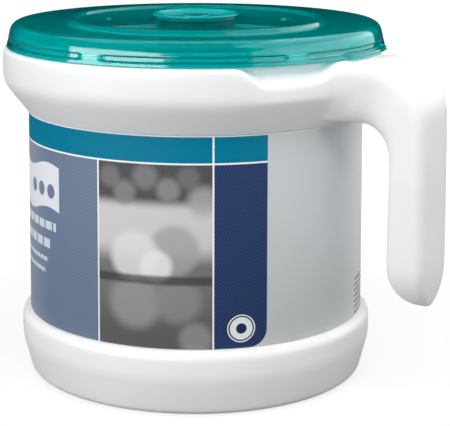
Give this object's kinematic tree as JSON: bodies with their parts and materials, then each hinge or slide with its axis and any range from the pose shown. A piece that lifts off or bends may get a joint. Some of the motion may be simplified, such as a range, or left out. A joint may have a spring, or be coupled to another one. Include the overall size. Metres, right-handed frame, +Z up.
{
  "type": "portable centre-feed paper towel dispenser",
  "caption": "Round white bucket with a hooked side handle, a printed sleeve, a see-through lid with a feed nozzle and a centre-feed paper roll inside.",
  "frame": {"origin": "centre of the flat underside of the bucket's floor, on the bucket's axis", "axes": "+Z up along the bucket's axis, +X towards the handle"},
  "size_m": [0.2728, 0.2288, 0.2155],
  "materials": {
    "white_plastic": "satin moulded",
    "printed_film": "printed film, satin",
    "towel_paper": "soft paper",
    "tinted_plastic": "see-through gloss",
    "nozzle_plastic": "gloss"
  },
  "bodies": {
    "bucket": {"container": "white_plastic", "wrap_label": "printed_film", "paper_roll": "towel_paper"},
    "cover": {"lid": "tinted_plastic", "feed_nozzle": "nozzle_plastic"}
  },
  "joints": [
    {"name": "lid_lift", "type": "slide", "parent": "bucket", "child": "cover", "axis": [0, 0, 1], "range_m": [0, 0.08]}
  ]
}
